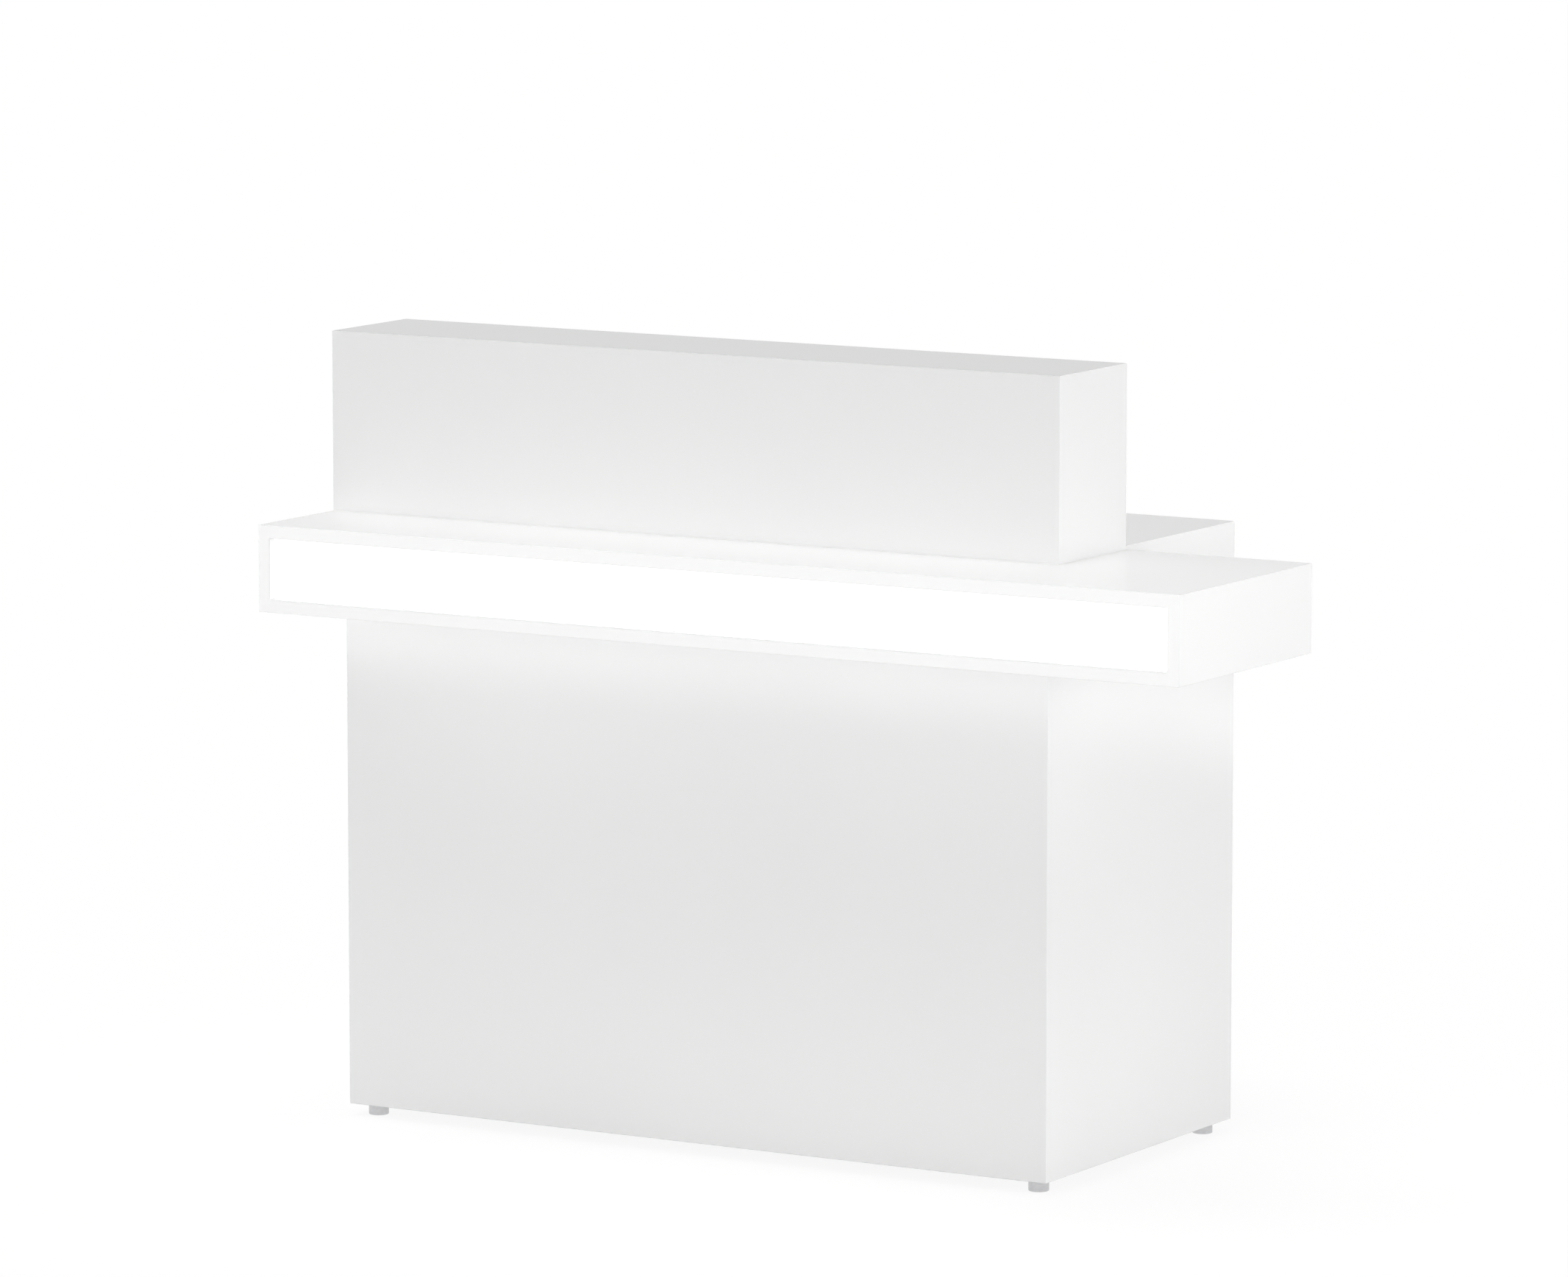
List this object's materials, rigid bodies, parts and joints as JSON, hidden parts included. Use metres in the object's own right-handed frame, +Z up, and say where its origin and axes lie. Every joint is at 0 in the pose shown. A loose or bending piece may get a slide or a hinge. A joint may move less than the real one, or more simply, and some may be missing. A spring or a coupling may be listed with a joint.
{
  "type": "reception desk",
  "caption": "White gloss reception desk: base cabinet on levelling feet, a luminous box overhanging the front and one side, an upper screen box, a rear worktop, shelves and a lockable drawer.",
  "frame": {"origin": "on the floor, at the middle of the desk's outline seen from above", "axes": "+X to the visitor's right along the front, +Y from the visitor to the staff side, +Z up"},
  "size_m": [1.425, 0.717, 1.1],
  "materials": {
    "white_lacquer": "white high-gloss lacquer on board",
    "white_melamine": "white satin melamine-faced board",
    "opal_acrylic": "opal acrylic, lit from behind",
    "satin_steel": "satin turned steel",
    "zinc_steel": "bright zinc plating",
    "aluminium": "mill-finish extrusion",
    "nickel": "polished nickel plating",
    "led_board": "white circuit board with clear lenses",
    "white_plastic": "moulded, satin",
    "grey_plastic": "moulded, satin",
    "black_plastic": "moulded, satin",
    "grey_rubber": "matt"
  },
  "bodies": {
    "desk": {"base_front_panel": "white_lacquer", "base_left_gable": "white_lacquer", "base_right_gable": "white_lacquer", "base_bottom_panel": "white_melamine", "centre_partition": "white_melamine", "worktop": "white_lacquer", "left_shelf": "white_melamine", "right_shelf": "white_melamine", "shelf_pin_left_1": "zinc_steel", "shelf_pin_left_2": "zinc_steel", "shelf_pin_left_3": "zinc_steel", "shelf_pin_left_4": "zinc_steel", "shelf_pin_right_1": "zinc_steel", "shelf_pin_right_2": "zinc_steel", "shelf_pin_right_3": "zinc_steel", "shelf_pin_right_4": "zinc_steel", "light_box_top": "white_lacquer", "light_box_bottom": "white_lacquer", "light_box_left_end": "white_lacquer", "light_box_right_end": "white_lacquer", "light_box_back": "white_lacquer", "light_box_spar": "white_melamine", "diffuser_panel": "opal_acrylic", "diffuser_rail_top": "aluminium", "diffuser_rail_bottom": "aluminium", "led_bar_upper": "led_board", "led_bar_lower": "led_board", "led_driver": "white_plastic", "led_harness": "black_plastic", "cable_bush": "grey_rubber", "light_switch_body": "black_plastic", "upper_front_panel": "white_lacquer", "upper_top_panel": "white_lacquer", "upper_left_end": "white_lacquer", "upper_right_end": "white_lacquer", "upper_divider": "white_melamine", "foot_insert_front_left": "zinc_steel", "foot_insert_front_right": "zinc_steel", "foot_insert_back_left": "zinc_steel", "foot_insert_back_right": "zinc_steel", "runner_outer_left": "zinc_steel", "runner_outer_right": "zinc_steel", "grommet_sleeve": "grey_plastic"},
    "drawer": {"drawer_front": "white_lacquer", "drawer_left_side": "white_melamine", "drawer_right_side": "white_melamine", "drawer_back": "white_melamine", "drawer_bottom": "white_melamine", "runner_inner_left": "zinc_steel", "runner_inner_right": "zinc_steel", "lock_body": "nickel"},
    "runner_middle": {"runner_middle_left": "zinc_steel", "runner_middle_right": "zinc_steel"},
    "lock": {"lock_plug": "nickel"},
    "light_switch": {"light_switch_rocker": "white_plastic"},
    "cable_outlet_cap": {"grommet_cap": "grey_plastic"},
    "foot_fl": {"foot_front_left": "satin_steel"},
    "foot_fr": {"foot_front_right": "satin_steel"},
    "foot_bl": {"foot_back_left": "satin_steel"},
    "foot_br": {"foot_back_right": "satin_steel"}
  },
  "joints": [
    {"name": "drawer_slide", "type": "slide", "parent": "desk", "child": "drawer", "axis": [0, 1, 0], "range_m": [0, 0.28]},
    {"name": "runner_middle_slide", "type": "slide", "parent": "desk", "child": "runner_middle", "axis": [0, 1, 0], "range_m": [0, 0.14]},
    {"name": "lock_turn", "type": "hinge", "parent": "drawer", "child": "lock", "pos_m": [-0.4125, 0.3555, 0.804], "axis": [0, 1, 0], "range_deg": [0, 180]},
    {"name": "light_switch_tip", "type": "hinge", "parent": "desk", "child": "light_switch", "pos_m": [0.3425, 0.0148, 0.79], "axis": [-1, 0, 0], "range_deg": [0, 14]},
    {"name": "cable_cap_lift", "type": "slide", "parent": "desk", "child": "cable_outlet_cap", "axis": [0, 0, 1], "range_m": [0, 0.04]},
    {"name": "foot_front_left_level", "type": "slide", "parent": "desk", "child": "foot_fl", "axis": [0, 0, -1], "range_m": [0, 0.012]},
    {"name": "foot_front_right_level", "type": "slide", "parent": "desk", "child": "foot_fr", "axis": [0, 0, -1], "range_m": [0, 0.012]},
    {"name": "foot_back_left_level", "type": "slide", "parent": "desk", "child": "foot_bl", "axis": [0, 0, -1], "range_m": [0, 0.012]},
    {"name": "foot_back_right_level", "type": "slide", "parent": "desk", "child": "foot_br", "axis": [0, 0, -1], "range_m": [0, 0.012]}
  ],
  "couplings": [
    {"joint": "runner_middle_slide", "follows": "drawer_slide", "ratio": 0.5}
  ]
}
